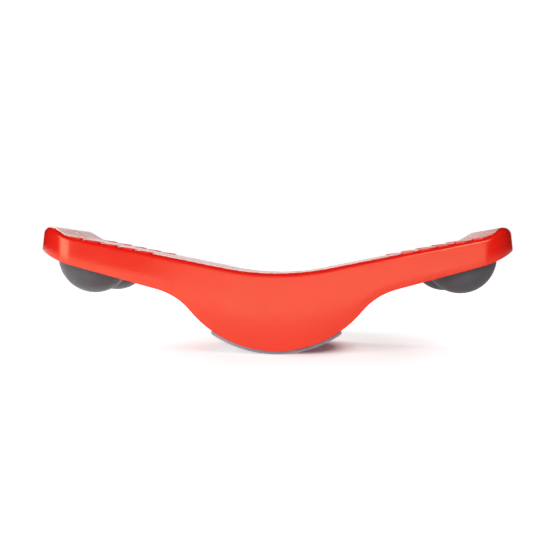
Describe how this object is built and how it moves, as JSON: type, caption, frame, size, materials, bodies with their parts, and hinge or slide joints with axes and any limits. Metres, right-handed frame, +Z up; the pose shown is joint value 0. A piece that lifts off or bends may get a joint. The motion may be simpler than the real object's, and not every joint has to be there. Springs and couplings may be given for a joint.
{
  "type": "seesaw balance board",
  "caption": "Seesaw balance board: a V-shaped moulded deck with raised ends that rocks on a rubber-soled round belly, with half-ball rubber bumpers under its arms.",
  "frame": {"origin": "on the floor under the middle of the board, on the sole's lowest line", "axes": "+Z up, X along the board, Y across it, front long side at -Y"},
  "size_m": [0.758, 0.33, 0.2014],
  "materials": {
    "deck": "semi-gloss red moulding",
    "bumper": "smooth matte grey rubber",
    "sole": "matte light grey rubber",
    "inner_plastic": "matte black moulding",
    "screw": "zinc-plated"
  },
  "bodies": {
    "root": {"deck_shell": "deck", "bumper_front_left": "bumper", "bumper_front_right": "bumper", "bumper_rear_left": "bumper", "bumper_rear_right": "bumper", "bumper_disc_front_left": "inner_plastic", "bumper_disc_front_right": "inner_plastic", "bumper_disc_rear_left": "inner_plastic", "bumper_disc_rear_right": "inner_plastic", "bumper_screw_front_left_1": "screw", "bumper_screw_front_left_2": "screw", "bumper_screw_front_left_3": "screw", "bumper_screw_front_left_4": "screw", "bumper_screw_front_right_1": "screw", "bumper_screw_front_right_2": "screw", "bumper_screw_front_right_3": "screw", "bumper_screw_front_right_4": "screw", "bumper_screw_rear_left_1": "screw", "bumper_screw_rear_left_2": "screw", "bumper_screw_rear_left_3": "screw", "bumper_screw_rear_left_4": "screw", "bumper_screw_rear_right_1": "screw", "bumper_screw_rear_right_2": "screw", "bumper_screw_rear_right_3": "screw", "bumper_screw_rear_right_4": "screw", "rocker_plate": "inner_plastic", "rocker_sole": "sole", "rocker_screw_front_left": "screw", "rocker_screw_front_middle": "screw", "rocker_screw_front_right": "screw", "rocker_screw_rear_left": "screw", "rocker_screw_rear_middle": "screw", "rocker_screw_rear_right": "screw"}
  },
  "joints": []
}
